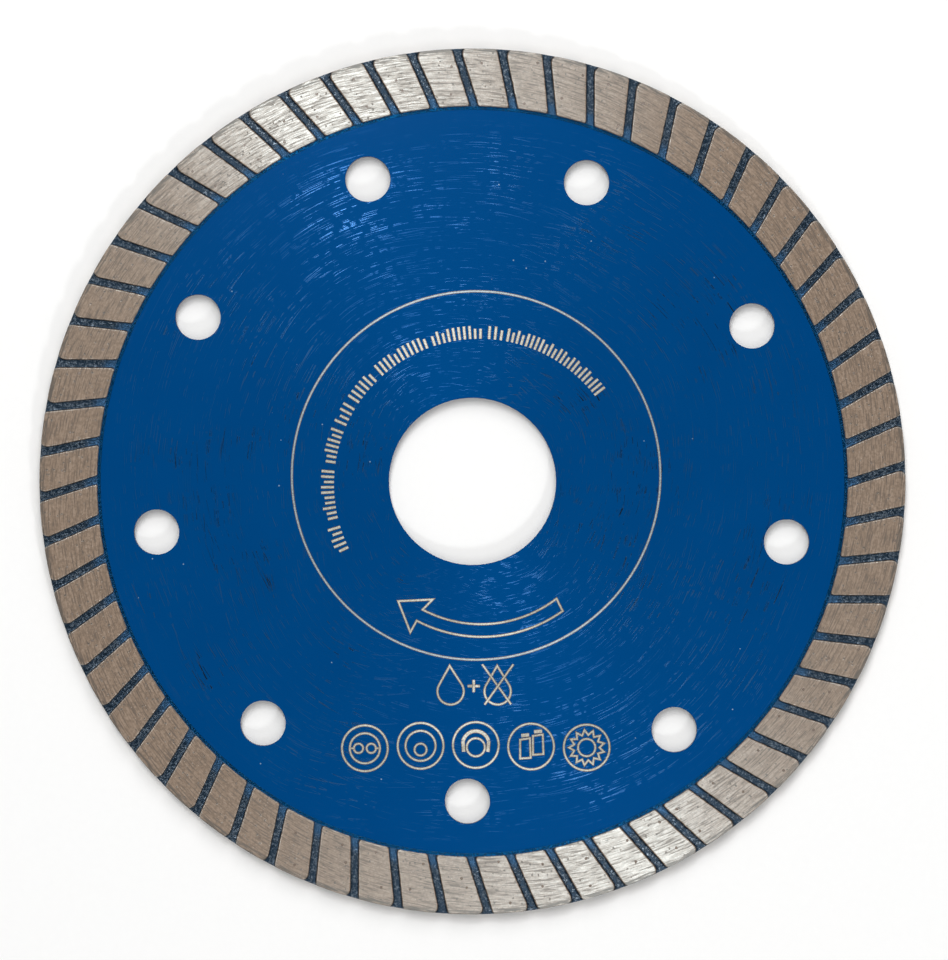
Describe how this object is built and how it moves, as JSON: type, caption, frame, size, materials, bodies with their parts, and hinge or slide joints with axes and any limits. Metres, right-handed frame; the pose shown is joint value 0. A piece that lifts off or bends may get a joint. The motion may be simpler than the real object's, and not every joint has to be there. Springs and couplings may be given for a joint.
{
  "type": "diamond cutting blade",
  "caption": "Flat round turbo-rim diamond cutting disc with a steel core, cooling holes and a grooved sintered rim.",
  "frame": {"origin": "centre of the bore at mid-thickness", "axes": "+Z along the spin axis, out of the front face, which carries the markings; the disc lies in the XY plane"},
  "size_m": [0.115, 0.115, 0.0022],
  "materials": {
    "lacquered_steel": "satin blue lacquer with fine handling scratches",
    "sintered_bond": "ground sintered metal bond, grooves painted",
    "diamond_grit": "dark yellow-grey synthetic diamond crystals, ground flush"
  },
  "bodies": {
    "root": {"steel_core": "lacquered_steel", "diamond_rim": "sintered_bond", "front_diamonds": "diamond_grit", "back_diamonds": "diamond_grit", "edge_diamonds": "diamond_grit"}
  },
  "joints": []
}
